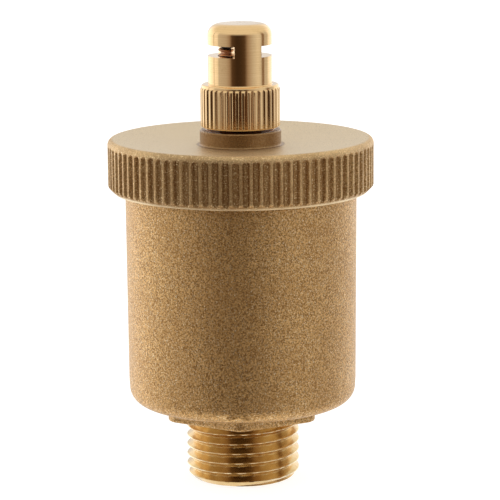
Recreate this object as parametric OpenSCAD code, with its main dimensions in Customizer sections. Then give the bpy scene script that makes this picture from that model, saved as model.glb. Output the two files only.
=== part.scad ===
// Automatic float air vent with a threaded inlet spigot.
// Millimetres, +Z up. The origin is the centre of the spigot's lower end face, and -Y is the front.

/* [Inlet spigot] */
// Outer diameter of the half-inch pipe thread
thread_d = 20.955; // [18:0.005:26]
// Depth of the pipe thread
thread_depth = 1.162; // [0.8:0.001:1.2]
// Length of the threaded spigot
thread_l = 11.8; // [9:0.1:16]
// Height of the lead-in chamfer at the spigot's end
thread_lead = 1.2; // [0.6:0.1:2]
// Wall between the thread's root and the inlet bore
spigot_wall = 1.8155; // [1.2:0.0005:3]

/* [Wrench hub] */
// Width of the wrench hexagon across its flats
hex_af = 27; // [22.4:0.1:33]
// Height of the hexagon below the cup
hex_h = 2.2; // [1.8:0.1:5]
// Turn of the hexagon's front corner towards -X, in degrees
hex_turn = 2; // [0:1:30]

/* [Body cup] */
// Diameter of the float chamber
chamber_d = 37.4; // [31:0.1:50]
// Height of the cup from its underside to the shoulder under the cover
cup_h = 39.6; // [32:0.1:60]
// Wall of the cup's threaded neck
neck_wall = 1.9; // [1.5:0.05:3]
// Height of the cup's threaded neck
neck_h = 4.9; // [4:0.1:6]
// Width of the shoulder under the cover
shoulder_w = 0.625; // [0.4:0.005:2]
// Amount that the cup is narrower in diameter at its bottom than at its shoulder
cup_draft = 0.55; // [0:0.05:1]
// Radius of the cup's lower corner
cup_corner_r = 2.8; // [1:0.1:4]
// Rise of the cup's underside, in degrees
cup_under_rise = 6; // [2:1:10]
// Thickness of the cup's floor
cup_floor = 2.8; // [2:0.1:4]
// Radius of the corner between the chamber's wall and floor
chamber_corner_r = 2.2; // [0.5:0.1:3]

/* [Cover] */
// Wall of the cover's skirt from the neck's thread to the tops of the grip ribs
skirt_wall = 3.75; // [3:0.05:5]
// Thickness of the cover at its flat rim
cover_t = 3.3; // [2.8:0.1:5]
// Number of grip flutes round the cover
cover_flutes = 84; // [40:1:100]
// Depth of a grip flute
cover_flute_depth = 0.6; // [0.2:0.05:0.9]
// Drop of the dished top from its rim to the boss
cover_dish = 1.25; // [0.4:0.05:1.5]
// Height of the boss above the cover's rim
boss_h = 1.5; // [1.3:0.1:6]
// Thickness of the cover's O-ring when it is clamped
oring_t = 1.8; // [1.4:0.1:1.9]

/* [Nozzle] */
// Bore of the nozzle's tube
tube_bore_d = 5.2; // [4.4:0.1:7]
// Wall of the nozzle's tube
tube_wall = 1.35; // [0.8:0.05:2]
// Height of the tube above the boss
tube_h = 14.85; // [12:0.05:18]
// Step from the tube out to the nozzle's threaded shank
shank_step = 0.55; // [0.3:0.05:1]
// Width of the nozzle's flange outside its shank
flange_w = 1.7; // [1.2:0.1:3]
// Thickness of the nozzle's flange
flange_t = 1.6; // [1:0.1:2]
// Wall of the boss round the flange
boss_wall = 1.25; // [0.8:0.05:3]
// Diameter of the vent hole through the valve seat
seat_hole_d = 3; // [2.5:0.1:3.6]

/* [Vent cap] */
// Wall of the cap's stem round the tube
stem_wall = 1.84; // [1:0.01:3]
// Step from the stem out to the tops of the knurled ring's teeth
ring_step = 1.45; // [1:0.05:3]
// Height of the knurled ring
ring_h = 7.85; // [6:0.05:9]
// Number of teeth round the knurled ring
ring_teeth = 40; // [24:1:60]
// Depth of a tooth on the knurled ring
ring_tooth_depth = 0.4; // [0.1:0.05:0.6]
// Height of the vent slots
slot_h = 2.05; // [1:0.05:3]
// Width of the web that carries the head between the slots
web_w = 5.07; // [3:0.01:7]
// Turn of the web to the right of the front, in degrees
web_turn = 16.25; // [0:0.25:90]
// Height of the head above the slots
head_h = 3.8; // [3.2:0.1:6]
// Gap left for screwing the cap down onto the boss
cap_gap = 0.5; // [0.3:0.1:1]

/* [Float mechanism] */
// Radial gap between the float and the chamber's wall
float_side_gap = 1.2; // [0.6:0.1:3]
// Wall of the float
float_wall = 1; // [0.8:0.1:1.6]
// Gap between the float and the chamber's floor when the chamber is dry
float_clear = 4.4; // [4.2:0.1:6]
// Distance from the float's side in to the pin that it hangs from
hook_inset = 5.5; // [4.6:0.1:7]
// Distance from the lever's pivot to the valve's axis
valve_arm = 6; // [5:0.1:7.2]
// Opening of the valve when the chamber is dry
valve_lift = 1.2; // [0.6:0.1:1.5]
// Diameter of the lever's pivot pin
pivot_d = 2; // [1.6:0.1:2.4]
// Diameter of the float's pin
float_pin_d = 1.7; // [1.4:0.1:2.1]
// Diameter of the valve stem
stem_pin_d = 1.6; // [1.2:0.1:2]
// Thickness of the lever
lever_t = 1.2; // [0.8:0.1:1.5]
// Thickness of the lever bracket's sheet
sheet_t = 0.8; // [0.6:0.1:1]
// Wire of the valve spring
wire_d = 0.5; // [0.3:0.05:0.6]

/* [Hidden] */
$fn = 96;

// Clearances that the fits share
thread_clear = 0.06;   // radial, between the plain cylinders that stand for a thread pair
pin_clear = 0.06;      // radial, between a turning pin and its bore
link_clear = 0.1;      // radial, at the float's pin, which also takes the lever's sideways drift
fixed_clear = 0.02;    // radial, round a piece that is clamped or riveted
joint_gap = 0.3;       // between faces that move past each other
lip_clear = 0.2;       // radial, round the lip that centres the cover
bite = 1;              // how far a cutter runs past the face that it opens
rib_sink = 0.15;       // how far ribs are sunk into the core that they stand on
rib_inset = 0.03;      // how far ribs stay behind the collar and the edges of their core

// Radii, from the inside out
chamber_r = chamber_d / 2;
neck_r = chamber_r + neck_wall;
cup_r = neck_r + shoulder_w;
cover_r = neck_r + skirt_wall;
lip_r = chamber_r - lip_clear;
float_r = chamber_r - float_side_gap;
thread_r = thread_d / 2;
inlet_r = thread_r - thread_depth - spigot_wall;
bore_r = tube_bore_d / 2;
tube_r = bore_r + tube_wall;
shank_r = tube_r + shank_step;
flange_r = shank_r + flange_w;
boss_r = flange_r + boss_wall;
cap_bore_r = tube_r + thread_clear;
stem_r = cap_bore_r + stem_wall;
ring_r = stem_r + ring_step;
pivot_r = pivot_d / 2;
float_pin_r = float_pin_d / 2;
stem_pin_r = stem_pin_d / 2;

// Heights of the fixed pieces, from the spigot's end face up
z_hub = thread_l;
z_under = z_hub + hex_h;
z_floor = z_under + cup_floor;
z_shoulder = z_under + cup_h;
z_rim = z_shoulder + neck_h;
z_skirt = z_shoulder + joint_gap;
z_ceiling = z_rim + oring_t;
z_cover = z_ceiling + cover_t;
z_boss = z_cover + boss_h;
gasket_t = 0.3;
z_gasket = z_boss - flange_t - gasket_t;
washer_t = 0.4;
nut_t = 1.8;
nut_af = 2 * shank_r + 2.6;
z_bracket = z_ceiling - sheet_t;
z_washer = z_bracket - washer_t;
z_nut = z_washer - nut_t;
shank_below_nut = 0.3;
z_shank = z_nut - shank_below_nut;
seat_nose = 0.4;
z_seat = z_shank - seat_nose;
z_tube = z_boss + tube_h;

// Heights of the vent cap, which follow the tube that its seal closes
seal_gap = cap_gap - 0.1;
z_cap_seal = z_tube + seal_gap;
cap_seal_t = 1.45;
slot_above_seal = 0.35;
z_ring = z_boss + cap_gap;
z_stem = z_ring + ring_h;
z_head = z_cap_seal + slot_above_seal;
z_slot = z_head - slot_h;
z_top = z_head + head_h;

// The lever, the valve below its seat and the float, dry and open
seal_t = 1.4;
seal_r = 2.6;
link_r = 2.3;
disc_t = 0.8;
button_t = 1;
link_play = 0.1;
z_seal = z_seat - valve_lift - seal_t;
z_disc = z_seal - disc_t;
lever_swing = asin(valve_lift / 2 / valve_arm);
link_gap = lever_t / cos(lever_swing) + 2 * link_r * tan(lever_swing) + link_play;
z_link = z_disc - link_gap / 2;
z_button = z_disc - link_gap - button_t;
z_pivot = z_link + valve_lift / 2;
float_arm = valve_arm + float_r - hook_inset;
float_travel = 2 * float_arm * sin(lever_swing);
float_pin_x = -valve_arm + float_arm * (1 + cos(lever_swing)) / 2;
z_float_pin = z_pivot - float_travel / 2;
ear_r = pivot_r + 1.1;
ear_gap = 0.355;
// The ears clear the locknut's flat, or its slanted side where they start further out than the corner of the flat
ear_inner = min(nut_af / 2, nut_af - sqrt(3) * (valve_arm - ear_r)) + ear_gap;
float_headroom = 0.42;
z_float = z_floor + float_clear;
z_float_top = min(z_pivot - ear_r, z_button + valve_lift) - float_headroom - float_travel;
float_ear_y = 2.7;
float_ear_t = 1.2;

// The valve spring stands on the ledge in the nozzle's bore and lifts the collar
z_ledge = z_washer;
coil_gap = 0.2;
coil_r = bore_r - wire_d / 2 - coil_gap;
spring_h = 6;
z_collar = z_ledge + spring_h;
collar_t = 1.2;

raw_brass = "#b08d50";
bright_brass = "#d9a94e";
steel = "#b9bcbf";
rubber = "#26282a";
plastic = "#e9e6da";

function arc(cx, cy, r, a0, a1, n = 12) = [for (i = [0:n]) let(a = a0 + (a1 - a0) * i / n)
    [cx + r * cos(a), cy + r * sin(a)]];

// Polar outline of a ring of rounded ribs: outer radius r, depth d, n ribs, each width part of its pitch.
// The ribs' roots are sunk into the round core that they stand on, which is the floor of the flutes.
function ribs(r, d, n, width) = [for (i = [0:n - 1]) let(a = 360 * i / n, w = 360 / n * width)
    each [[r, a - w * 0.3], [r, a + w * 0.3], [r - d * 0.55, a + w * 0.55],
        [r - d - rib_sink, a + w * 0.8], [r - d - rib_sink, a + 360 / n - w * 0.8],
        [r - d * 0.55, a + 360 / n - w * 0.55]]];

// The ribs from height z0 to z1, as a ring that reaches in to radius r_in
module ribbed(r, r_in, d, n, width, z0, z1) {
    difference() {
        translate([0, 0, z0]) linear_extrude(z1 - z0)
            polygon([for (p = ribs(r, d, n, width)) p[0] * [cos(p[1]), sin(p[1])]]);
        translate([0, 0, z0 - bite]) cylinder(r = r_in, h = z1 - z0 + 2 * bite);
    }
}

module ring(outer, inner, h) {
    rotate_extrude() translate([inner, 0]) square([outer - inner, h]);
}

// A cylinder along Y, centred on the X-Z plane
module across(r, l) {
    rotate([90, 0, 0]) cylinder(r = r, h = l, center = true);
}

// Forged body: spigot, wrench hexagon, float cup and threaded neck in one piece
module body() {
    r_low = cup_r - cup_draft / 2;
    hub_bevel = 0.6;
    hex_r = hex_af / 2 / cos(30);
    z_edge = z_under + (r_low - cup_corner_r - hex_af / 2) * tan(cup_under_rise);
    z_arc = z_edge + cup_corner_r * cos(cup_under_rise);
    neck_lead = 0.5;
    color(raw_brass) difference() {
        union() {
            rotate_extrude() polygon(concat(
                [[0, 0], [thread_r - thread_depth, 0], [thread_r, thread_lead], [thread_r, z_hub],
                    [hex_af / 2 - hub_bevel, z_hub], [hex_af / 2, z_under]],
                arc(r_low - cup_corner_r, z_arc, cup_corner_r, cup_under_rise - 90, 0, 8),
                [[cup_r, z_shoulder], [neck_r, z_shoulder], [neck_r, z_rim - neck_lead],
                    [neck_r - neck_lead, z_rim], [0, z_rim]]));
            intersection() {
                translate([0, 0, z_hub]) rotate([0, 0, -90 - hex_turn])
                    cylinder(r = hex_r, h = hex_h + cup_floor / 2, $fn = 6);
                translate([0, 0, z_hub])
                    cylinder(r1 = hex_r - hub_bevel, r2 = hex_r + cup_floor, h = 2 * cup_floor);
            }
        }
        translate([0, 0, -bite]) cylinder(r = inlet_r, h = z_floor + 2 * bite);
        rotate_extrude() polygon(concat([[0, z_floor]],
            arc(chamber_r - chamber_corner_r, z_floor + chamber_corner_r, chamber_corner_r, -90, 0, 8),
            [[chamber_r, z_rim + bite], [0, z_rim + bite]]));
    }
}

// Screwed cover: ribbed skirt, dished top and the boss that carries the nozzle
module cover() {
    edge_r = 1;
    chamfer = 0.5;
    boss_fillet = 1;
    lip_t = 1.3;
    lip_h = 2.8;
    root_r = cover_r - cover_flute_depth;
    z_flutes = z_cover - edge_r - 0.3;
    z_foot = z_cover - cover_dish;
    color(raw_brass) difference() {
        union() {
            rotate_extrude() polygon(concat(
                [[lip_r - lip_t, z_ceiling - lip_h], [lip_r, z_ceiling - lip_h], [lip_r, z_ceiling],
                    [neck_r + thread_clear, z_ceiling], [neck_r + thread_clear, z_skirt],
                    [root_r - chamfer, z_skirt], [root_r, z_skirt + chamfer], [root_r, z_flutes],
                    [cover_r, z_flutes]],
                arc(cover_r - edge_r, z_cover - edge_r, edge_r, 0, 90, 6),
                [[boss_r + boss_fillet, z_foot]],
                arc(boss_r + boss_fillet, z_foot + boss_fillet, boss_fillet, 270, 180, 6),
                [[boss_r, z_boss], [0, z_boss], [0, z_ceiling], [lip_r - lip_t, z_ceiling]]));
            ribbed(cover_r - rib_inset, root_r - chamfer, cover_flute_depth - rib_inset, cover_flutes, 0.42,
                z_skirt + chamfer + rib_inset, z_flutes + rib_sink);
        }
        translate([0, 0, z_gasket]) cylinder(r = flange_r + thread_clear, h = z_boss);
        translate([0, 0, z_ceiling - bite]) cylinder(r = shank_r + thread_clear, h = z_boss);
    }
}

// O-ring clamped between the neck's rim and the cover
module cover_oring() {
    color(rubber) translate([0, 0, z_rim + oring_t / 2])
        rotate_extrude() translate([(neck_r + chamber_r) / 2, 0]) circle(d = oring_t, $fn = 32);
}

// Turned nozzle: valve seat at the bottom, threaded shank, flange and the tube that the cap screws onto
module nozzle() {
    nose_r = seat_hole_d / 2 + 0.8;
    tip = 0.4;
    color(bright_brass) difference() {
        rotate_extrude() polygon([[0, z_seat], [nose_r, z_seat], [nose_r + seat_nose / 2, z_shank],
            [shank_r, z_shank], [shank_r, z_boss - flange_t], [flange_r, z_boss - flange_t],
            [flange_r, z_boss], [tube_r, z_boss], [tube_r, z_tube - tip], [tube_r - tip, z_tube],
            [0, z_tube]]);
        translate([0, 0, z_seat - bite]) cylinder(d = seat_hole_d, h = z_tube);
        translate([0, 0, z_ledge]) cylinder(r = bore_r, h = z_tube);
    }
}

// Fibre gasket under the nozzle's flange
module nozzle_gasket() {
    color("#8c3b2c") translate([0, 0, z_gasket]) ring(flange_r, shank_r + fixed_clear, gasket_t);
}

// Toothed washer under the locknut
module lock_washer() {
    teeth = 10;
    washer_r = shank_r + 1.7;
    notch = 0.6;
    color(steel) translate([0, 0, z_washer]) difference() {
        linear_extrude(washer_t) polygon([for (i = [0:2 * teeth - 1])
            (washer_r - (i % 2) * notch) * [cos(180 * i / teeth), sin(180 * i / teeth)]]);
        translate([0, 0, -bite]) cylinder(r = shank_r + fixed_clear, h = 3 * bite);
    }
}

// Hexagon locknut that clamps the nozzle and the bracket to the cover
module nozzle_locknut() {
    color(bright_brass) translate([0, 0, z_nut]) difference() {
        cylinder(d = nut_af / cos(30), h = nut_t, $fn = 6);
        translate([0, 0, -bite]) cylinder(r = shank_r + fixed_clear, h = nut_t + 2 * bite);
    }
}

// Stamped bracket: a plate under the cover with two ears that hold the pivot pin
module lever_bracket() {
    plate_x = shank_r + 2.2;
    ear_x = 3.2;
    ear_y = ear_inner + sheet_t;
    color(steel) difference() {
        union() {
            translate([-valve_arm - ear_x, -ear_y, z_bracket])
                cube([plate_x + valve_arm + ear_x, 2 * ear_y, sheet_t]);
            for (side = [-1, 1]) translate([-valve_arm, side * (ear_inner + sheet_t / 2), 0]) {
                translate([-ear_r, -sheet_t / 2, z_pivot])
                    cube([2 * ear_r, sheet_t, z_bracket - z_pivot + sheet_t / 2]);
                translate([0, 0, z_pivot]) across(ear_r, sheet_t);
            }
        }
        translate([0, 0, z_bracket - bite]) cylinder(r = shank_r + thread_clear, h = 3 * bite);
        translate([-valve_arm, 0, z_pivot]) across(pivot_r + fixed_clear, 4 * ear_y);
    }
}

// Headed pin through the bracket's ears
module pivot_pin() {
    head_t = 0.6;
    end_y = ear_inner + sheet_t + 1.1;
    outer_y = ear_inner + sheet_t;
    color(steel) translate([-valve_arm, 0, z_pivot]) {
        rotate([90, 0, 0]) translate([0, 0, -end_y]) cylinder(r = pivot_r, h = end_y + outer_y);
        rotate([90, 0, 0]) translate([0, 0, outer_y]) cylinder(r = pivot_r + 0.7, h = head_t);
    }
}

// Retaining clip on the pivot pin's free end
module pivot_clip() {
    clip_t = 0.5;
    clip_y = ear_inner + sheet_t + 0.1;
    color(steel) translate([-valve_arm, clip_y, z_pivot]) rotate([-90, 0, 0]) difference() {
        cylinder(r = pivot_r + 1, h = clip_t);
        translate([0, 0, -bite]) cylinder(r = pivot_r + fixed_clear, h = 3 * bite);
        translate([-pivot_r * 0.6, 0, -bite]) cube([pivot_r * 1.2, 2 * pivot_d, 3 * bite]);
    }
}

// Lever, drawn level and then swung down to where the dry float holds it
module lever() {
    barrel_r = pivot_r + 0.9;
    eye_r = float_pin_r + 1.1;
    eye_w = 2 * (float_ear_y - joint_gap);
    arm_w = 5;
    color(steel) translate([-valve_arm, 0, z_pivot]) rotate([0, lever_swing, 0]) difference() {
        union() {
            across(barrel_r, 2 * (ear_inner - joint_gap));
            translate([0, -arm_w / 2, -lever_t / 2]) cube([float_arm, arm_w, lever_t]);
            translate([float_arm, 0, 0]) across(eye_r, eye_w);
        }
        across(pivot_r + pin_clear, 4 * ear_inner);
        translate([float_arm, 0, 0]) across(float_pin_r + link_clear, 2 * eye_w);
        translate([valve_arm, 0, -bite]) cylinder(r = stem_pin_r + joint_gap, h = 2 * bite);
    }
}

// Float: a hollow drum with two ears on top that hold its pin
module float_shell() {
    edge = 2;
    hook_r = float_pin_r + 1.3;
    r = float_r;
    color(plastic) difference() {
        union() {
            rotate_extrude() polygon(concat([[0, z_float_top], [0, z_float_top - float_wall]],
                arc(r - edge, z_float_top - edge, edge - float_wall, 90, 0, 6),
                [[r - float_wall, z_float], [r, z_float]],
                arc(r - edge, z_float_top - edge, edge, 0, 90, 6)));
            for (side = [-1, 1]) translate([float_pin_x, side * (float_ear_y + float_ear_t / 2), 0]) {
                translate([-hook_r, -float_ear_t / 2, z_float_top - float_wall / 2])
                    cube([2 * hook_r, float_ear_t, z_float_pin - z_float_top + float_wall / 2]);
                translate([0, 0, z_float_pin]) across(hook_r, float_ear_t);
            }
        }
        translate([float_pin_x, 0, z_float_pin])
            across(float_pin_r + fixed_clear, 4 * (float_ear_y + float_ear_t));
    }
}

// Base welded into the float, with a shallow hollow underneath
module float_base() {
    r = float_r - float_wall - fixed_clear;
    hollow = 1.2;
    color(plastic) rotate_extrude() polygon([[0, z_float + hollow], [r / 3, z_float + hollow],
        [r / 2, z_float], [r, z_float], [r, z_float + 2 * hollow], [r - float_wall, z_float + 2 * hollow],
        [r - float_wall, z_float + float_wall], [r / 2 + float_wall / 2, z_float + float_wall],
        [r / 3 + float_wall / 2, z_float + hollow + float_wall], [0, z_float + hollow + float_wall]]);
}

// Headed pin that joins the float to the lever
module float_pin() {
    head_t = 0.6;
    outer_y = float_ear_y + float_ear_t;
    tail = 0.5;
    color(steel) translate([float_pin_x, 0, z_float_pin]) rotate([90, 0, 0]) {
        translate([0, 0, -outer_y - tail]) cylinder(r = float_pin_r, h = 2 * outer_y + tail);
        translate([0, 0, outer_y]) cylinder(r = float_pin_r + 0.6, h = head_t);
    }
}

// Valve stem with the disc that carries the seal
module obturator_pin() {
    color(bright_brass) {
        translate([0, 0, z_button]) cylinder(r = stem_pin_r, h = z_collar + collar_t - z_button);
        translate([0, 0, z_disc]) cylinder(r = link_r, h = disc_t);
    }
}

// Rubber seal that closes the seat from below
module obturator_seal() {
    color(rubber) translate([0, 0, z_seal]) ring(seal_r, stem_pin_r, seal_t);
}

// Button riveted to the stem's foot, under the lever
module stem_button() {
    color(steel) translate([0, 0, z_button]) ring(link_r, stem_pin_r, button_t);
}

// Collar on the stem that the spring pushes up
module spring_collar() {
    color(bright_brass) translate([0, 0, z_collar]) ring(bore_r - 0.15, stem_pin_r, collar_t);
}

// Compression spring round the stem: a wire swept along a helix, with its ends just clear of their seats
module valve_spring() {
    turns = 7;
    steps = 14;
    sides = 8;
    rings = turns * steps;
    end_gap = 0.05;
    z0 = z_ledge + wire_d / 2 + end_gap;
    rise = (spring_h - wire_d - 2 * end_gap) / rings;
    points = [for (i = [0:rings], j = [0:sides - 1]) let(a = 360 * i / steps, b = 360 * j / sides,
        q = coil_r + wire_d / 2 * cos(b)) [q * cos(a), q * sin(a), z0 + rise * i + wire_d / 2 * sin(b)]];
    tube = [for (i = [0:rings - 1], j = [0:sides - 1]) let(k = (j + 1) % sides)
        [i * sides + j, (i + 1) * sides + j, (i + 1) * sides + k, i * sides + k]];
    ends = [[for (j = [0:sides - 1]) j], [for (j = [sides - 1:-1:0]) rings * sides + j]];
    color(steel) polyhedron(points, concat(tube, ends), convexity = 8);
}

// Vent cap: knurled ring, stem, two side slots and a rounded head in one turned piece
module vent_cap() {
    bevel = 0.6;
    root_r = ring_r - ring_tooth_depth;
    head_r = 1.45;
    head_rise = 1.8;
    foot = 0.35;
    color(bright_brass) difference() {
        union() {
            rotate_extrude() polygon(concat(
                [[0, z_ring], [root_r - foot, z_ring], [root_r, z_ring + foot], [root_r, z_stem - bevel],
                    [root_r - bevel * 0.6, z_stem], [stem_r, z_stem]],
                [for (i = [0:6]) let(a = 15 * i)
                    [stem_r - head_r * (1 - cos(a)), z_top - head_rise * (1 - sin(a))]],
                [[0, z_top]]));
            ribbed(ring_r, root_r - bevel, ring_tooth_depth, ring_teeth, 0.5, z_ring + foot + rib_inset,
                z_stem - bevel - rib_inset);
        }
        translate([0, 0, z_ring - bite])
            cylinder(r = cap_bore_r, h = z_cap_seal + cap_seal_t - z_ring + bite);
        rotate([0, 0, web_turn]) for (side = [-1, 1])
            translate([side * (web_w / 2 + stem_r) - stem_r, -stem_r, z_slot])
                cube([2 * stem_r, 2 * stem_r, slot_h]);
    }
}

// Rubber disc under the cap's head that closes the tube when the cap is screwed down
module cap_seal() {
    color(rubber) translate([0, 0, z_cap_seal]) cylinder(r = cap_bore_r - pin_clear, h = cap_seal_t - 0.05);
}

body();
cover();
cover_oring();
nozzle();
nozzle_gasket();
lock_washer();
nozzle_locknut();
lever_bracket();
pivot_pin();
pivot_clip();
lever();
float_shell();
float_base();
float_pin();
obturator_pin();
obturator_seal();
stem_button();
spring_collar();
valve_spring();
vent_cap();
cap_seal();
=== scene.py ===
import math
from collections import namedtuple

import bmesh
import bpy
from mathutils import Matrix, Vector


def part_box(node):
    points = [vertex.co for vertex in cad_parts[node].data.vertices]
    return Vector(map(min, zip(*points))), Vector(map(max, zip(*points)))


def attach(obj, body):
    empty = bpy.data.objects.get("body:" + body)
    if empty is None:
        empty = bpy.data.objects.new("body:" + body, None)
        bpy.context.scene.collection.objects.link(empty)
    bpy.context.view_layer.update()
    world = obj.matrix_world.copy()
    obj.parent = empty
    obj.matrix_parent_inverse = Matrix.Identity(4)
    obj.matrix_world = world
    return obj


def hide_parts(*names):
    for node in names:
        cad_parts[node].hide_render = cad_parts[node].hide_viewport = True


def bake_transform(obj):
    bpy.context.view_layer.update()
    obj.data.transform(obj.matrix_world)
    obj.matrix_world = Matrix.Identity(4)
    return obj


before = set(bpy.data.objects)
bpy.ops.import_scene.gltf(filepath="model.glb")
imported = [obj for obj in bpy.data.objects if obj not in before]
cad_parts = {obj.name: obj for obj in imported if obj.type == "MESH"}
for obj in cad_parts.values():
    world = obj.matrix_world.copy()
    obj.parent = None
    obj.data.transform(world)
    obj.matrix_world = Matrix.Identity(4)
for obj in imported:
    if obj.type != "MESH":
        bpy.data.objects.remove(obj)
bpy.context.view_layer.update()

# Lengths below are millimetres until a mesh is made. Angles run anticlockwise from +X, and -Y is the front.
MM = 0.001
TURN = 2 * math.pi
FRONT = -TURN / 4


def span(node):
    """Lowest and highest corners of a CAD node, in millimetres."""
    low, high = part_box(node)
    return low / MM, high / MM


def smooth(value, start, end):
    """0 before start, 1 after end, and a soft rise between them."""
    share = min(1.0, max(0.0, (value - start) / (end - start)))
    return share * share * (3 - 2 * share)


def steps(start, end, count):
    """count + 1 even steps from start to end."""
    return [start + (end - start) * i / count for i in range(count + 1)]


# ---------------------------------------------------------------- turned pieces

# One ring of a turned piece. The radius is a number or a function of the angle, the skin is the finish
# of the band that starts at this ring, and every step-th column of the piece's angles is used.
Row = namedtuple("Row", "radius height skin step")


def row(radius, height, skin=0, step=1):
    return Row(radius, height, skin, step)


def arc_rows(centre_r, centre_z, radius, start, end, count, skin=0, step=1):
    """Rows along an arc of the profile, from start to end in degrees."""
    rows = []
    for degrees in steps(start, end, count):
        turn = math.radians(degrees)
        rows.append(row(centre_r + radius * math.cos(turn), centre_z + radius * math.sin(turn), skin, step))
    return rows


def band(shell, lower, upper, skin):
    """Faces between two rings, which may differ in their number of columns."""
    if len(lower) == 1 or len(upper) == 1:
        pole, ring = (lower[0], upper) if len(lower) == 1 else (upper[0], lower)
        faces = [(pole, ring[i], ring[(i + 1) % len(ring)]) for i in range(len(ring))]
    else:
        coarse, fine = (lower, upper) if len(lower) <= len(upper) else (upper, lower)
        ratio = len(fine) // len(coarse)
        faces = []
        for i in range(len(coarse)):
            edge = [fine[(i * ratio + k) % len(fine)] for k in range(ratio, -1, -1)]
            faces.append((coarse[i], coarse[(i + 1) % len(coarse)], *edge))
    for corners in faces:
        shell.faces.new(corners).material_index = skin


def turned(name, rows, angles, finishes, crease=32):
    """A closed turned piece from its profile. A radius of 0 ends the profile on the axis."""
    shell = bmesh.new()
    rings = []
    for radius, height, _, step in rows:
        if radius == 0:
            rings.append([shell.verts.new((0, 0, height * MM))])
            continue
        ring = []
        for angle in angles[::step]:
            reach = (radius(angle) if callable(radius) else radius) * MM
            ring.append(shell.verts.new((reach * math.cos(angle), reach * math.sin(angle), height * MM)))
        rings.append(ring)
    reaches_axis = rows[0].radius == 0
    for i in range(len(rings) - (1 if reaches_axis else 0)):
        band(shell, rings[i], rings[(i + 1) % len(rings)], rows[i].skin)
    return settle(name, shell, finishes, crease)


def settle(name, shell, finishes, crease=32):
    """Turns a bmesh into a shaded object with its finishes."""
    bmesh.ops.recalc_face_normals(shell, faces=shell.faces)
    mesh = bpy.data.meshes.new(name)
    shell.to_mesh(mesh)
    shell.free()
    piece = bpy.data.objects.new(name, mesh)
    bpy.context.scene.collection.objects.link(piece)
    for finish in finishes:
        mesh.materials.append(finish)
    mesh.shade_smooth()
    mesh.set_sharp_from_angle(angle=math.radians(crease))
    return piece


def thread(crest, depth, pitch, start, height, rounding=0.25, limit=None):
    """Radius of a right-handed thread at a height, as a function of the angle."""
    def radius(angle):
        along = (height / pitch - angle / TURN + start) % 1.0
        rise = 1.0 - abs(2.0 * along - 1.0)
        if rise < rounding:
            share = rise * rise / (2 * rounding)
        elif rise > 1 - rounding:
            share = 1 - rounding - (1 - rise) ** 2 / (2 * rounding)
        else:
            share = rise - rounding / 2
        reach = crest - depth + depth * share / (1 - rounding)
        return reach if limit is None else min(reach, limit)
    return radius


# ---------------------------------------------------------------- shared sizes

body_high = span("body")[1]
cover_low, cover_high = span("cover")
nozzle_low, nozzle_high = span("nozzle")
cap_low, cap_high = span("vent_cap")
ring_low, ring_high = span("cover_oring")

Z_RIM = body_high.z
Z_SKIRT = cover_low.z
Z_COVER = 63.6
Z_BOSS = cover_high.z
Z_CEILING = ring_high.z
Z_SHOULDER = Z_SKIRT - 0.3
Z_HUB = 11.8
Z_UNDER = 14.0
Z_FLOOR = 16.8
CUP_R = body_high.x
NECK_R = 20.6
CHAMBER_R = 18.7
SPIGOT_R = 10.4775
INLET_R = 7.5
RIB_R = cover_high.x
BOSS_R = 7.45
SPIGOT_THREAD = dict(depth=1.162, pitch=1.814, start=0.69)
NECK_THREAD = dict(depth=0.80, pitch=1.5, start=0.1)
THREAD_PLAY = 0.03
SHANK_THREAD = dict(depth=0.50, pitch=1.0, start=0.3)
TUBE_THREAD = dict(depth=0.55, pitch=1.0, start=0.3)
FLUTES = 84
TEETH = 40

# ---------------------------------------------------------------- finishes

class Wire:
    """One socket of a finish. Arithmetic on it adds Math nodes."""

    def __init__(self, finish, socket):
        self.finish = finish
        self.socket = socket

    def maths(self, operation, first, second):
        return self.finish.node("ShaderNodeMath", {"operation": operation}, {0: first, 1: second})

    def __add__(self, other):
        return self.maths("ADD", self, other)

    def __radd__(self, other):
        return self.maths("ADD", other, self)

    def __sub__(self, other):
        return self.maths("SUBTRACT", self, other)

    def __rsub__(self, other):
        return self.maths("SUBTRACT", other, self)

    def __mul__(self, other):
        return self.maths("MULTIPLY", self, other)

    def __rmul__(self, other):
        return self.maths("MULTIPLY", other, self)

    def __truediv__(self, other):
        return self.maths("DIVIDE", self, other)

    def __pow__(self, other):
        return self.maths("POWER", self, other)

    def fade(self, start, end):
        """0 at start and 1 at end, softly."""
        settings = {"interpolation_type": "SMOOTHSTEP"}
        return self.finish.node("ShaderNodeMapRange", settings,
                                {"Value": self, "From Min": start, "From Max": end})


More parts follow.
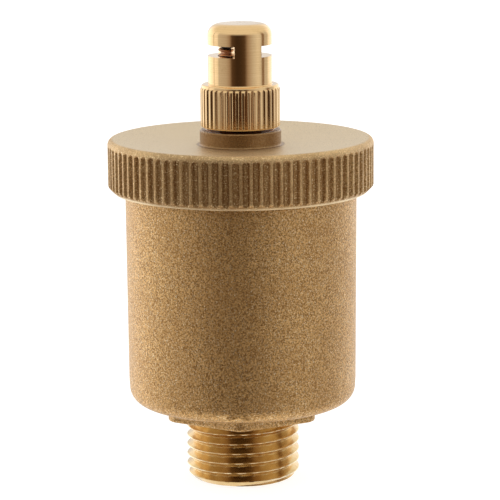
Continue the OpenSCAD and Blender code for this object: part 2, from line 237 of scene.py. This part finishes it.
class Finish:
    """A procedural material under construction."""

    def __init__(self, name, world=None):
        self.owner = world or bpy.data.materials.new(name)
        self.owner.use_nodes = True
        self.tree = self.owner.node_tree
        self.tree.nodes.clear()

    def node(self, kind, settings=None, sockets=None, output=0):
        """Adds a node: its settings first, then the values or links of its sockets."""
        made = self.tree.nodes.new(kind)
        for key, value in (settings or {}).items():
            if key == "stops":
                self.fill_ramp(made.color_ramp, value)
            else:
                setattr(made, key, value)
        for key, value in (sockets or {}).items():
            if isinstance(value, Wire):
                self.tree.links.new(value.socket, made.inputs[key])
            else:
                made.inputs[key].default_value = value
        return Wire(self, made.outputs[output]) if made.outputs else made

    @staticmethod
    def fill_ramp(ramp, stops):
        while len(ramp.elements) < len(stops):
            ramp.elements.new(1.0)
        for element, (position, colour) in zip(ramp.elements, stops):
            element.position = position
            element.color = (*colour, 1.0)

    def place(self):
        """Position on the piece, in millimetres."""
        here = self.node("ShaderNodeTexCoord", output=3)
        return self.node("ShaderNodeVectorMath", {"operation": "SCALE"}, {0: here, "Scale": 1 / MM})

    def parts(self, vector):
        made = self.node("ShaderNodeSeparateXYZ", {}, {0: vector}).socket.node
        return [Wire(self, made.outputs[i]) for i in range(3)]

    def stretch(self, vector, x, y, z):
        return self.node("ShaderNodeVectorMath", {"operation": "MULTIPLY"}, {0: vector, 1: (x, y, z)})

    def noise(self, vector, scale, detail=2.0, roughness=0.5):
        sockets = {"Vector": vector, "Scale": scale, "Detail": detail, "Roughness": roughness}
        return self.node("ShaderNodeTexNoise", {}, sockets)

    def mix(self, factor, first, second):
        """A colour between first and second, by the node's sockets 6 and 7 and its output 2."""
        made = self.node("ShaderNodeMix", {"data_type": "RGBA"}, {0: factor}, 2)
        for index, value in ((6, first), (7, second)):
            if isinstance(value, Wire):
                self.tree.links.new(value.socket, made.socket.node.inputs[index])
            else:
                made.socket.node.inputs[index].default_value = (*value, 1.0)
        return made

    def bump(self, height, depth):
        """Relief of a depth in millimetres."""
        return self.node("ShaderNodeBump", {}, {"Height": height, "Distance": depth * MM, "Strength": 1.0})

    def surface(self, **sockets):
        """Ends the material in a Principled surface, whose sockets are named with underscores for spaces."""
        named = {key.replace("_", " "): value for key, value in sockets.items()}
        if not isinstance(named.get("Base Color"), Wire):
            named["Base Color"] = (*named["Base Color"], 1.0)
        shader = self.node("ShaderNodeBsdfPrincipled", {}, named)
        self.node("ShaderNodeOutputMaterial", {}, {"Surface": shader})
        return self.owner


def radius_of(finish, place):
    """Distance from the axis, in millimetres."""
    x, y, _ = finish.parts(place)
    return (x * x + y * y) ** 0.5


def forged_brass():
    """Blasted forging: sandy grain, tiny painted glints, faint stains and a few rubbed spots."""
    f = Finish("forged_brass")
    here = f.place()
    grain = f.noise(here, 3.3, 3.0, 0.70)
    pits = f.noise(here, 1.5, 2.0, 0.5)
    painted_glint = f.noise(here, 5.2, 1.0).fade(0.60, 0.68)
    pit = 1.0 - f.noise(here, 2.2, 2.0, 0.6).fade(0.30, 0.40)
    stain = f.noise(here, 0.11, 3.0, 0.6).fade(0.36, 0.68)
    rubbed = f.noise(f.stretch(here, 1.0, 1.0, 0.45), 0.75, 3.0, 0.6).fade(0.63, 0.74)
    tone = f.mix(grain.fade(0.37, 0.63), (0.30, 0.152, 0.046), (0.82, 0.515, 0.215))
    tone = f.mix(pit * 0.6, tone, (0.20, 0.11, 0.045))
    tone = f.mix(stain * 0.28, tone, (0.46, 0.245, 0.085))
    tone = f.mix(rubbed * 0.45, tone, (0.80, 0.52, 0.25))
    # Painted glints: pale specks in the colour stand in for sparkles of light.
    tone = f.mix(painted_glint * 0.75, tone, (1.0, 0.84, 0.56))
    relief = grain * 0.6 + pits * 0.4
    rough = 0.44 - 0.16 * painted_glint - 0.06 * rubbed
    return f.surface(Base_Color=tone, Metallic=1.0, Roughness=rough, Normal=f.bump(relief, 0.16))


def cover_brass():
    """The forging of the cover: painted shade in its flutes, a painted highlight at its foot, and its dished
    top painted paler, as if lit from above.
    """
    f = Finish("cover_brass")
    here = f.place()
    reach = radius_of(f, here)
    across, deep, height = f.parts(here)
    grain = f.noise(here, 3.5, 3.0, 0.66)
    fine = f.noise(here, 5.5, 2.0, 0.5)
    painted_glint = f.noise(here, 4.6, 1.0).fade(0.58, 0.70)
    stain = f.noise(here, 0.16, 3.0, 0.6).fade(0.36, 0.68)
    boss = 1.0 - reach.fade(BOSS_R + 0.25, BOSS_R + 0.85)
    dish = 1.0 - reach.fade(RIB_R - 1.15, RIB_R - 0.55)
    top = height.fade(Z_COVER - 1.7, Z_COVER - 1.1) * dish * (1.0 - boss)
    skirt = reach.fade(RIB_R - 1.45, RIB_R - 1.05) * (1.0 - height.fade(Z_COVER - 1.2, Z_COVER - 0.8))
    painted_flute_shade = (1.0 - reach.fade(RIB_R - 0.55, RIB_R - 0.15)) * skirt
    tip = reach.fade(RIB_R - 0.15, RIB_R - 0.02) * (1.0 - height.fade(Z_COVER - 1.4, Z_COVER - 1.1))
    left = across.fade(-19.0, -13.0) * (1.0 - across.fade(-5.0, 6.0))
    front_left_dark = left * (1.0 - deep.fade(-14.0, -6.0)) * (1.0 - top)
    edge = 1.0 - height.fade(Z_SKIRT + 0.15, Z_SKIRT + 0.6)
    plain = height.fade(Z_COVER - 1.4, Z_COVER - 1.1) * reach.fade(RIB_R - 1.25, RIB_R - 0.65)
    painted_top_light = f.mix(fine.fade(0.35, 0.65), (0.68, 0.55, 0.36), (0.82, 0.68, 0.475))
    tone = f.mix(grain.fade(0.36, 0.64), (0.34, 0.190, 0.072), (0.76, 0.495, 0.23))
    # Painted shade: the flutes are darkened where their hollows are shaded.
    tone = f.mix(painted_flute_shade * 0.50, tone, (0.25, 0.125, 0.045))
    # Rib tips worn paler, and a painted highlight on the rounded band at the top of the skirt.
    tone = f.mix(tip * 0.20 + plain * 0.40, tone, (0.92, 0.69, 0.39))
    # Painted highlight: a near-white line along the foot chamfer.
    tone = f.mix(edge * 0.85, tone, (1.0, 0.84, 0.56))
    tone = f.mix(stain * 0.35, tone, (0.34, 0.175, 0.062))
    # Darker over the front left of the skirt.
    tone = f.mix(front_left_dark * 0.35, tone, (0.20, 0.115, 0.050))
    # Painted light: the dished top is paler, as if lit from above.
    tone = f.mix(top * 0.8, tone, painted_top_light)
    # Painted glints on the skirt: pale specks in the colour stand in for sparkles of light.
    tone = f.mix(painted_glint * (1.0 - top) * 0.9, tone, (0.95, 0.74, 0.42))
    tone = f.mix(boss * 0.85, tone, (0.225, 0.125, 0.055))
    relief = grain * (0.65 - 0.4 * top) * (1.0 - 0.7 * boss) + fine * 0.25
    rough = 0.48 - 0.16 * painted_glint - 0.08 * top - 0.20 * boss - 0.08 * tip
    return f.surface(Base_Color=tone, Metallic=1.0, Roughness=rough, Normal=f.bump(relief, 0.18))


def lathe_relief(f, here, scale):
    """Fine rings that a turning tool leaves, on the faces as well as round the sides."""
    rings = f.node("ShaderNodeCombineXYZ", {}, {0: radius_of(f, here), 2: f.parts(here)[2]})
    return f.noise(rings, scale, 2.0, 0.6)


def turned_brass():
    """Bright turned brass with tool rings and slight handling marks."""
    f = Finish("turned_brass")
    here = f.place()
    rings = lathe_relief(f, here, 9.0)
    smudge = f.noise(here, 0.5, 3.0, 0.6)
    tone = f.mix(rings.fade(0.3, 0.7), (0.80, 0.54, 0.265), (0.88, 0.61, 0.32))
    tone = f.mix(smudge.fade(0.5, 0.75) * 0.3, tone, (0.62, 0.40, 0.17))
    rough = 0.05 + 0.06 * smudge + 0.02 * rings
    return f.surface(Base_Color=tone, Metallic=1.0, Roughness=rough, Normal=f.bump(rings, 0.012))


def tube_brass():
    """Nozzle brass painted dark for the shade inside the vent cap, mottled at random."""
    f = Finish("tube_brass")
    here = f.place()
    rings = lathe_relief(f, here, 9.0)
    dark_mottle = f.noise(here, 0.7, 3.0, 0.6).fade(0.35, 0.7)
    # Both tones are dark: painted shade inside the vent cap's slots.
    tone = f.mix(dark_mottle, (0.50, 0.28, 0.155), (0.38, 0.195, 0.11))
    rough = 0.36 + 0.14 * dark_mottle
    return f.surface(Base_Color=tone, Metallic=1.0, Roughness=rough, Normal=f.bump(rings, 0.012))


def thread_brass():
    """Freshly cut thread: warm and glossy, with tool rings and a painted highlight along its crests."""
    f = Finish("thread_brass")
    here = f.place()
    rings = lathe_relief(f, here, 7.0)
    smudge = f.noise(here, 0.6, 3.0, 0.6)
    tone = f.mix(smudge.fade(0.35, 0.7), (0.74, 0.53, 0.26), (0.66, 0.44, 0.19))
    reach = radius_of(f, here)
    beyond = reach.fade(SPIGOT_R + 0.1225, SPIGOT_R + 0.3225)
    crest = reach.fade(SPIGOT_R - 0.1375, SPIGOT_R - 0.0375) * (1.0 - beyond)
    # Painted highlight: pale crests stand in for light caught by their rounding.
    tone = f.mix(crest * 0.7, tone, (0.95, 0.86, 0.66))
    rough = 0.13 + 0.08 * smudge
    return f.surface(Base_Color=tone, Metallic=1.0, Roughness=rough, Normal=f.bump(rings, 0.012))


def sheet_steel(name="sheet_steel", shade=0.56):
    """Rolled stainless sheet and wire with fine scratches."""
    f = Finish(name)
    here = f.place()
    scratches = f.noise(f.stretch(here, 0.12, 4.0, 4.0), 3.0, 2.0, 0.6)
    cloud = f.noise(here, 0.4, 2.0)
    dark = (shade * 0.86, shade * 0.87, shade * 0.88)
    tone = f.mix(scratches, dark, (shade * 1.12, shade * 1.12, shade * 1.1))
    rough = 0.24 + 0.12 * scratches + 0.08 * cloud
    return f.surface(Base_Color=tone, Metallic=1.0, Roughness=rough, Normal=f.bump(scratches, 0.008))


def rubber():
    """Black moulded rubber with a dusty bloom."""
    f = Finish("seal_rubber")
    here = f.place()
    bloom = f.noise(here, 0.9, 3.0, 0.6).fade(0.45, 0.75)
    skin = f.noise(here, 7.0, 2.0)
    tone = f.mix(bloom * 0.5, (0.012, 0.012, 0.013), (0.045, 0.044, 0.042))
    return f.surface(Base_Color=tone, Roughness=0.42 + 0.25 * bloom, Normal=f.bump(skin, 0.015))


def fibre():
    """Red-brown pressed fibre."""
    f = Finish("gasket_fibre")
    here = f.place()
    strands = f.noise(f.stretch(here, 1.0, 1.0, 6.0), 3.5, 3.0, 0.7)
    tone = f.mix(strands.fade(0.3, 0.7), (0.17, 0.040, 0.022), (0.33, 0.095, 0.055))
    return f.surface(Base_Color=tone, Roughness=0.78, Normal=f.bump(strands, 0.03))


def float_plastic():
    """Off-white moulded plastic with faint flow marks."""
    f = Finish("float_plastic")
    here = f.place()
    flow = f.noise(f.stretch(here, 1.0, 1.0, 0.3), 0.25, 3.0, 0.6)
    skin = f.noise(here, 5.0, 2.0)
    tone = f.mix(flow.fade(0.35, 0.7), (0.72, 0.70, 0.62), (0.80, 0.785, 0.71))
    return f.surface(Base_Color=tone, Roughness=0.34 + 0.12 * flow, Normal=f.bump(skin, 0.012),
                     Subsurface_Weight=0.08)


FORGED = forged_brass()
COVER = cover_brass()
TURNED = turned_brass()
CUT = thread_brass()
TUBE = tube_brass()
STEEL = sheet_steel()
WIRE = sheet_steel("spring_wire", 0.62)
RUBBER = rubber()
FIBRE = fibre()
PLASTIC = float_plastic()

# ---------------------------------------------------------------- body

HEX_AF = 27.0
HEX_CORNER = FRONT - math.radians(2)
# Growth of the hexagon and height above the hub: its chamfered foot, its flats and its fillet under the cup
HEX_STEPS = ((-0.75, 0.0), (-0.35, 0.05), (-0.12, 0.18), (-0.02, 0.38), (0.0, 0.7), (0.0, 1.9), (0.06, 2.1),
             (0.25, 2.22))


def hexagon(grow, corner=2.4):
    """Radius of the wrench hexagon with rounded corners, grown by an amount, as a function of the angle."""
    flat = HEX_AF / 2 + grow
    centre = (flat - corner) / math.cos(TURN / 12)
    touch = TURN / 12 - math.atan2(centre * math.sin(TURN / 12), flat)

    def radius(angle):
        turn = (angle - HEX_CORNER + TURN / 12) % (TURN / 6) - TURN / 12
        if abs(turn) < touch:
            return centre * math.cos(turn) + math.sqrt(corner ** 2 - (centre * math.sin(turn)) ** 2)
        return flat / math.cos(TURN / 12 - abs(turn))
    return radius


def cup_corner(radius, height):
    """The cup's lower corner, with the small forged mounds over the hexagon's front and back corners."""
    mound = 0.50
    slope = 0.50
    peak = Z_UNDER + 3.0

    def reach(angle):
        turn = (angle - HEX_CORNER + TURN / 4) % (TURN / 2) - TURN / 4
        across = abs(turn) * CUP_R
        rise = smooth(peak - slope * across - height, 0.0, 0.8) * (1 - smooth(across, 1.6, 4.6))
        return radius + mound * rise * smooth(height, Z_UNDER + 0.4, Z_UNDER + 1.2)
    return reach


def make_body():
    rows = [row(INLET_R, 0.35, 1), row(INLET_R + 0.35, 0.0, 1)]
    root = SPIGOT_R - SPIGOT_THREAD["depth"]
    lead = 1.2
    rows.append(row(root - 0.15, 0.0, 1))
    for height in steps(0.05, Z_HUB - 0.05, 156):
        limit = root + SPIGOT_THREAD["depth"] * height / lead
        shape = thread(SPIGOT_R, height=height, limit=limit, rounding=0.10, **SPIGOT_THREAD)
        rows.append(row(shape, height, 1))
    rows.append(row(root, Z_HUB, 0))
    for grow, height in HEX_STEPS:
        rows.append(row(hexagon(grow), Z_HUB + height, 0))
    low_r = CUP_R - 0.275
    corner = 2.8
    rise = math.radians(6)
    edge_z = Z_UNDER + (low_r - corner - HEX_AF / 2) * math.tan(rise)
    under_w = 3.4
    rows.append(row(HEX_AF / 2 + under_w, Z_UNDER + under_w * math.tan(rise), 0))
    centre_z = edge_z + corner * math.cos(rise)
    for part in arc_rows(low_r - corner, centre_z, corner, -84, 0, 14):
        rows.append(row(cup_corner(part.radius, part.height), part.height, 0))
    for height in steps(centre_z + 1.5, Z_SHOULDER - 0.3, 12):
        rows.append(row(low_r + (CUP_R - low_r) * height / Z_SHOULDER, height, 0))
    rows += [row(CUP_R - 0.02, Z_SHOULDER - 0.15, 0), row(CUP_R - 0.2, Z_SHOULDER, 0)]
    crest = NECK_R - THREAD_PLAY
    neck_root = crest - NECK_THREAD["depth"]
    relief = neck_root - 0.05
    rows += [row(relief, Z_SHOULDER, 1), row(relief, Z_SHOULDER + 0.5, 1)]
    for height in steps(Z_SHOULDER + 0.55, Z_RIM - 0.05, 44):
        limit = neck_root + (Z_RIM - height) * 1.2
        rows.append(row(thread(crest, height=height, limit=limit, **NECK_THREAD), height, 1))
    rows += [row(relief, Z_RIM, 1), row(CHAMBER_R + 0.2, Z_RIM, 1), row(CHAMBER_R, Z_RIM - 0.2, 1)]
    fillet = 2.2
    rows += arc_rows(CHAMBER_R - fillet, Z_FLOOR + fillet, fillet, 0, -90, 8, 1)
    rows += [row(INLET_R + 0.3, Z_FLOOR, 1), row(INLET_R, Z_FLOOR - 0.3, 1)]
    piece = turned("body_forging", rows, steps(0, TURN, 360)[:-1], [FORGED, CUT])
    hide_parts("body")
    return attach(piece, "housing")


# ---------------------------------------------------------------- cover

FLUTE_PLACES = (0.0, 0.12, 0.18, 0.23, 0.28, 0.33, 0.39, 0.5, 0.61, 0.67, 0.72, 0.77, 0.82, 0.88)
FLUTE_ANGLES = [TURN * (i + place) / FLUTES for i in range(FLUTES) for place in FLUTE_PLACES]
PLAIN = len(FLUTE_PLACES) // 2
FLUTE_DEPTH = 0.6
# Shares of a pitch, from the middle of a rib: where its side starts, and where the floor of the flute starts
RIB_SHARE = 0.09
FLOOR_SHARE = 0.34


def fluted(height, top, chamfer_foot):
    """Radius of the fluted skirt at a height. A flute runs out in a round end just below the plain band.

    The flutes differ slightly in depth and length.
    """
    pitch = TURN * RIB_R / FLUTES

    def radius(angle):
        flute, along = divmod(angle / TURN * FLUTES, 1.0)
        off_rib = min(along, 1 - along)
        groove = smooth(off_rib, RIB_SHARE, FLOOR_SHARE)
        half = pitch * 0.38
        across = min(half, pitch * (0.5 - off_rib))
        end = top - half + math.sqrt(half * half - across * across) + 0.10 * math.sin(1.7 * flute)
        groove *= smooth(end - height, -0.10, 0.20)
        reach = RIB_R - (0.92 + 0.08 * math.sin(2.4 * flute)) * FLUTE_DEPTH * groove
        return min(reach, chamfer_foot + (height - Z_SKIRT))
    return radius


def make_cover():
    def plain(radius, height, skin=0):
        return row(radius, height, skin, PLAIN)

    lip_r = CHAMBER_R - 0.2
    lip_wall = 1.3
    lip_foot = Z_CEILING - 2.8
    bore_r = NECK_R + 0.05
    z_relief = Z_RIM + 0.25
    dish = 1.25
    band_r = 1.0
    foot_r = 0.4
    recess_r = 6.26
    hole_r = 4.56
    z_gasket = 63.2
    chamfer_foot = RIB_R - FLUTE_DEPTH - 0.5
    rows = [plain(lip_r - lip_wall, lip_foot + 0.1), plain(lip_r - lip_wall + 0.1, lip_foot),
            plain(lip_r - 0.2, lip_foot), plain(lip_r, lip_foot + 0.2), plain(lip_r, Z_CEILING),
            plain(bore_r, Z_CEILING, 1), plain(bore_r, z_relief, 1)]
    for height in steps(z_relief - 0.05, Z_SKIRT + 0.55, 42):
        rows.append(plain(thread(NECK_R + THREAD_PLAY, height=height, **NECK_THREAD), height, 1))
    rows += [plain(bore_r, Z_SKIRT + 0.5, 1), plain(bore_r + 0.3, Z_SKIRT),
             plain(chamfer_foot - 0.3, Z_SKIRT)]
    z_flutes = Z_COVER - 1.0
    chamfer_lifts = [0.0, 0.2, 0.4, 0.5, 0.7, 0.9, 1.1, 1.35]
    for lift in chamfer_lifts + [2.6, 3.9, 5.2, 6.6]:
        rows.append(row(fluted(Z_SKIRT + lift, z_flutes, chamfer_foot), Z_SKIRT + lift))
    for height in steps(z_flutes - 1.15, z_flutes, 14):
        rows.append(row(fluted(height, z_flutes, chamfer_foot), height))
    rows += arc_rows(RIB_R - band_r, Z_COVER - band_r, band_r, 4, 90, 8, 0, PLAIN)
    dish_r = RIB_R - band_r
    for share in steps(0.06, 1.0, 10):
        rows.append(plain(dish_r + (BOSS_R + foot_r - dish_r) * share, Z_COVER - dish * share ** 0.9))
    rows += arc_rows(BOSS_R + foot_r, Z_COVER - dish + foot_r, foot_r, 262, 180, 5, 0, PLAIN)
    rows += [plain(BOSS_R, Z_BOSS - 0.2), plain(BOSS_R - 0.2, Z_BOSS), plain(recess_r + 0.1, Z_BOSS, 1),
             plain(recess_r, Z_BOSS - 0.1, 1), plain(recess_r, z_gasket, 1), plain(hole_r, z_gasket, 1),
             plain(hole_r, Z_CEILING), plain(lip_r - lip_wall, Z_CEILING)]
    piece = turned("screw_cover", rows, FLUTE_ANGLES, [COVER, TURNED], 38)
    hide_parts("cover")
    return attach(piece, "cover_group")


# ---------------------------------------------------------------- nozzle and vent cap

def make_nozzle():
    z_tube = nozzle_high.z
    tube_r = 3.95
    shank_r = 4.5
    flange_r = 6.2
    bore_r = 2.6
    z_seat = nozzle_low.z
    seat_r = 1.5
    z_shank = z_seat + 0.4
    z_ledge = Z_CEILING - 1.2
    z_flange = Z_BOSS - 1.6
    shank_root = shank_r - SHANK_THREAD["depth"]
    rows = [row(seat_r, z_seat + 0.1), row(seat_r + 0.12, z_seat), row(seat_r + 0.7, z_seat),
            row(seat_r + 0.8, z_seat + 0.1), row(seat_r + 1.0, z_shank), row(shank_root, z_shank)]
    for height in steps(z_shank + 0.05, Z_CEILING - 0.3, 44):
        limit = shank_root + (height - z_shank)
        rows.append(row(thread(shank_r, height=height, limit=limit, **SHANK_THREAD), height))
    rows += [row(shank_r, Z_CEILING - 0.2), row(shank_r, z_flange), row(flange_r - 0.1, z_flange),
             row(flange_r, z_flange + 0.1), row(flange_r, Z_BOSS - 0.15), row(flange_r - 0.15, Z_BOSS),
             row(tube_r - 0.1, Z_BOSS)]
    for height in steps(Z_BOSS + 0.1, z_tube - 0.05, 150):
        limit = tube_r - 0.2 + (z_tube - height)
        rows.append(row(thread(tube_r, height=height, limit=limit, **TUBE_THREAD), height))
    rows += [row(tube_r - 0.25, z_tube), row(bore_r + 0.2, z_tube), row(bore_r, z_tube - 0.2),
             row(bore_r, z_ledge), row(seat_r, z_ledge)]
    piece = turned("nozzle_tube", rows, steps(0, TURN, 120)[:-1], [TUBE])
    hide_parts("nozzle")
    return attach(piece, "cover_group")


TOOTH_COLUMNS = 12
TOOTH_ANGLES = [FRONT + TURN * (i + 0.5) / (TEETH * TOOTH_COLUMNS) for i in range(TEETH * TOOTH_COLUMNS)]
SMOOTH_STEM = 3


def knurled(tip, depth, limit):
    """Radius of the grip ring: broad teeth with narrow grooves, cut off by a bevel at a limit."""
    def radius(angle):
        along = ((angle - FRONT) / TURN * TEETH + 0.5) % 1.0
        groove = 1 - smooth(abs(2 * along - 1), 0.0, 0.62)
        crown = 0.10 * (2 * along - 1 - (1 if along > 0.5 else -1)) ** 2
        return min(limit, tip - depth * groove - crown)
    return radius


def make_vent_cap():
    def plain(radius, height):
        return row(radius, height, 0, SMOOTH_STEM)

    z_ring = cap_low.z
    z_stem = z_ring + 7.85
    z_top = cap_high.z
    z_head = z_top - 3.8
    z_seal = z_head + 1.1
    slot_h = 2.05
    tip = cap_high.x
    depth = 0.26
    collar = tip - 0.22
    bore_r = 4.01
    stem_r = 5.85
    rows = [plain(bore_r, z_ring + 0.4), plain(bore_r + 0.35, z_ring), plain(collar - 0.25, z_ring),
            plain(collar - 0.06, z_ring + 0.06), plain(collar - 0.02, z_ring + 0.20)]
    for lift in (0.22, 0.26, 0.30):
        rows.append(row(knurled(tip, depth, collar + 3 * (lift - 0.22)), z_ring + lift))
    for height in steps(z_ring + 0.7, z_stem - 0.9, 8):
        rows.append(row(knurled(tip, depth, tip), height))
    for drop in (0.72, 0.66, 0.60):
        rows.append(row(knurled(tip, depth, collar + (drop - 0.58)), z_stem - drop))
    rows += [plain(collar, z_stem - 0.56), plain(collar, z_stem - 0.30), plain(collar - 0.08, z_stem - 0.12),
             plain(collar - 0.28, z_stem), plain(stem_r + 0.12, z_stem), plain(stem_r, z_stem + 0.12)]
    for height in (z_stem + 2.05, z_stem + 4.05, z_head - 1.1, z_head + 0.3, z_top - 1.85):
        rows.append(plain(stem_r, height))
    pillow = 2.20
    low_turn = math.asin(1 - 1.80 / pillow)
    for turn in steps(low_turn, TURN / 4, 10)[1:]:
        reach = stem_r - pillow * (math.cos(low_turn) - math.cos(turn))
        rows.append(plain(reach, z_top - pillow * (1 - math.sin(turn))))
    rows += [plain(2.0, z_top), row(0, z_top)]
    inner = [plain(bore_r, z_ring + 0.45), plain(bore_r, z_seal), row(0, z_seal)]
    piece = turned("vent_cap_turning", rows[::-1] + inner, TOOTH_ANGLES, [TURNED], 30)
    cut_slots(piece, z_head - slot_h, z_head, stem_r)
    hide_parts("vent_cap")
    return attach(piece, "cap_group")


def cut_slots(piece, low, high, stem_r):
    """Mills the two side slots, which leave a web between them."""
    web = 5.07
    web_turn = 16.25
    turn = Matrix.Rotation(math.radians(web_turn), 4, "Z")
    cutter_mesh = bpy.data.meshes.new("slot_cutter")
    shell = bmesh.new()
    for side in (-1, 1):
        reach = stem_r + 1.5
        centre = side * (web / 2 + reach / 2)
        size = Matrix.Diagonal((reach * MM, 2 * reach * MM, (high - low) * MM, 1))
        shift = Matrix.Translation((centre * MM, 0, (low + high) / 2 * MM))
        bmesh.ops.create_cube(shell, size=1, matrix=turn @ shift @ size)
    shell.to_mesh(cutter_mesh)
    shell.free()
    cutter = bpy.data.objects.new("slot_cutter", cutter_mesh)
    bpy.context.scene.collection.objects.link(cutter)
    cut = piece.modifiers.new("slots", "BOOLEAN")
    cut.operation = "DIFFERENCE"
    cut.solver = "EXACT"
    cut.object = cutter
    bake(piece)
    bpy.data.objects.remove(cutter)
    piece.data.set_sharp_from_angle(angle=math.radians(30))


def bake(piece):
    """Applies a piece's modifiers to its mesh."""
    graph = bpy.context.evaluated_depsgraph_get()
    graph.update()
    mesh = bpy.data.meshes.new_from_object(piece.evaluated_get(graph))
    piece.modifiers.clear()
    piece.data = mesh


# ---------------------------------------------------------------- seal and spring

def make_oring():
    middle = (ring_low.x + ring_high.x) / 2
    outer = ring_high.x - middle
    radius = (ring_high.z - ring_low.z) / 2
    rows = arc_rows(outer - radius, (ring_low.z + ring_high.z) / 2, radius * 0.995, 0, 345, 23)
    piece = turned("cover_ring_seal", rows, steps(0, TURN, 160)[:-1], [RUBBER], 80)
    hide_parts("cover_oring")
    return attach(piece, "cover_seal")


def make_spring():
    """Valve spring: an evenly wound coil between the ends of its part."""
    low, high = span("valve_spring")
    wire = 0.25
    coil = high.x - wire
    turns = 7.0
    around = 28
    sides = 12
    count = int(turns * around)
    shell = bmesh.new()
    rings = []
    for i in range(count + 1):
        angle = TURN * i / around
        share = i / count
        height = low.z + wire + (high.z - low.z - 2 * wire) * share
        ring = []
        for j in range(sides):
            side = TURN * j / sides
            reach = coil + wire * math.cos(side)
            ring.append(shell.verts.new((reach * math.cos(angle) * MM, reach * math.sin(angle) * MM,
                                         (height + wire * math.sin(side)) * MM)))
        rings.append(ring)
    for lower, upper in zip(rings, rings[1:]):
        band(shell, lower, upper, 0)
    shell.faces.new(rings[0])
    shell.faces.new(rings[-1])
    piece = settle("valve_coil_spring", shell, [WIRE], 50)
    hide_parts("valve_spring")
    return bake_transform(piece)


make_body()
make_cover()
make_nozzle()
make_vent_cap()
make_oring()
make_spring()

NODE_FINISHES = {
    "nozzle_gasket": FIBRE, "lock_washer": STEEL, "nozzle_locknut": TURNED, "lever_bracket": STEEL,
    "pivot_pin": STEEL, "pivot_clip": STEEL, "lever": STEEL, "float_shell": PLASTIC, "float_base": PLASTIC,
    "float_pin": STEEL, "obturator_pin": TURNED, "obturator_seal": RUBBER, "stem_button": STEEL,
    "spring_collar": TURNED, "cap_seal": RUBBER,
}
for node, finish in NODE_FINISHES.items():
    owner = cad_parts[node]
    for place in owner.material_slots:
        place.material = finish

# ---------------------------------------------------------------- floor, light and camera

def make_floor():
    f = Finish("studio_floor")
    here = f.place()
    grain = f.noise(here, 0.02, 2.0)
    tone = f.mix(grain * 0.3, (0.42, 0.42, 0.42), (0.38, 0.38, 0.38))
    paper = f.surface(Base_Color=tone, Roughness=0.9, Emission_Color=(1.0, 1.0, 1.0, 1.0),
                      Emission_Strength=0.82)
    shell = bmesh.new()
    half = 3.0
    corners = [shell.verts.new(at) for at in ((-half, -half, 0), (half, -half, 0), (half, half, 0),
                                              (-half, half, 0))]
    shell.faces.new(corners)
    floor = settle("studio_floor", shell, [paper])
    floor.location.z = -0.2 * MM
    floor.visible_glossy = False


# Light that brass sees by the compass, from the back round by the left, front and right to the back again
ROOM = (
    (0.000, 0.90), (0.040, 0.90), (0.080, 1.60), (0.130, 1.60), (0.194, 1.28), (0.203, 0.58),
    (0.212, 1.22), (0.258, 1.05), (0.272, 0.64), (0.360, 0.54), (0.400, 0.38), (0.418, 0.10),
    (0.470, 0.05), (0.510, 0.06), (0.552, 0.10), (0.580, 0.40), (0.640, 0.66), (0.690, 0.84),
    (0.728, 0.72), (0.745, 0.26), (0.766, 0.26), (0.776, 0.65), (0.815, 0.65), (0.850, 1.25),
    (0.880, 1.35), (0.955, 1.35), (0.985, 0.85), (1.000, 0.85),
)
WARM_SHADE = (1.0, 0.60, 0.35)


def make_room():
    """Studio surroundings: white for the camera, and panels of light and shade for reflections."""
    world = bpy.data.worlds.new("studio")
    bpy.context.scene.world = world
    f = Finish("studio", world)
    toward = f.node("ShaderNodeTexCoord", output=0)
    x, y, z = f.parts(toward)
    compass = f.node("ShaderNodeMath", {"operation": "ARCTAN2"}, {0: x, 1: 0.0 - y})
    turn = compass / TURN + 0.5
    brightest = max(level for _, level in ROOM)
    stops = []
    for place, level in ROOM:
        warmth = 1 - smooth(level, 0.1, 0.7)
        tint = [1 - (1 - shade) * warmth for shade in WARM_SHADE]
        stops.append((place, [level / brightest * shade for shade in tint]))
    panels = f.node("ShaderNodeValToRGB", {"stops": stops}, {0: turn})
    light = f.mix(z.fade(0.15, 0.65), panels, (0.57, 0.56, 0.52))
    light = f.mix((0.0 - z).fade(0.50, 0.85), light, (0.70, 0.69, 0.66))
    warm = f.node("ShaderNodeBackground", {}, {"Color": light, "Strength": brightest})
    white = f.node("ShaderNodeBackground", {}, {"Color": (1.0, 1.0, 1.0, 1.0), "Strength": 1.0})
    seen = f.node("ShaderNodeLightPath", output=0)
    both = f.node("ShaderNodeMixShader", {}, {0: seen, 1: warm, 2: white})
    f.node("ShaderNodeOutputWorld", {}, {"Surface": both})


def make_camera():
    data = bpy.data.cameras.new("camera")
    data.sensor_width = 36.0
    data.lens = 178.7
    data.clip_end = 20.0
    camera = bpy.data.objects.new("camera", data)
    bpy.context.scene.collection.objects.link(camera)
    pan = Matrix.Rotation(math.radians(-0.20), 4, "Z")
    tilt = Matrix.Rotation(math.radians(90 - 10.75), 4, "X")
    roll = Matrix.Rotation(math.radians(-0.45), 4, "Z")
    camera.matrix_world = Matrix.Translation((0, -0.450, 0.128)) @ pan @ tilt @ roll
    bpy.context.scene.camera = camera


make_floor()
make_room()
make_camera()
bpy.context.scene.view_settings.view_transform = "Standard"
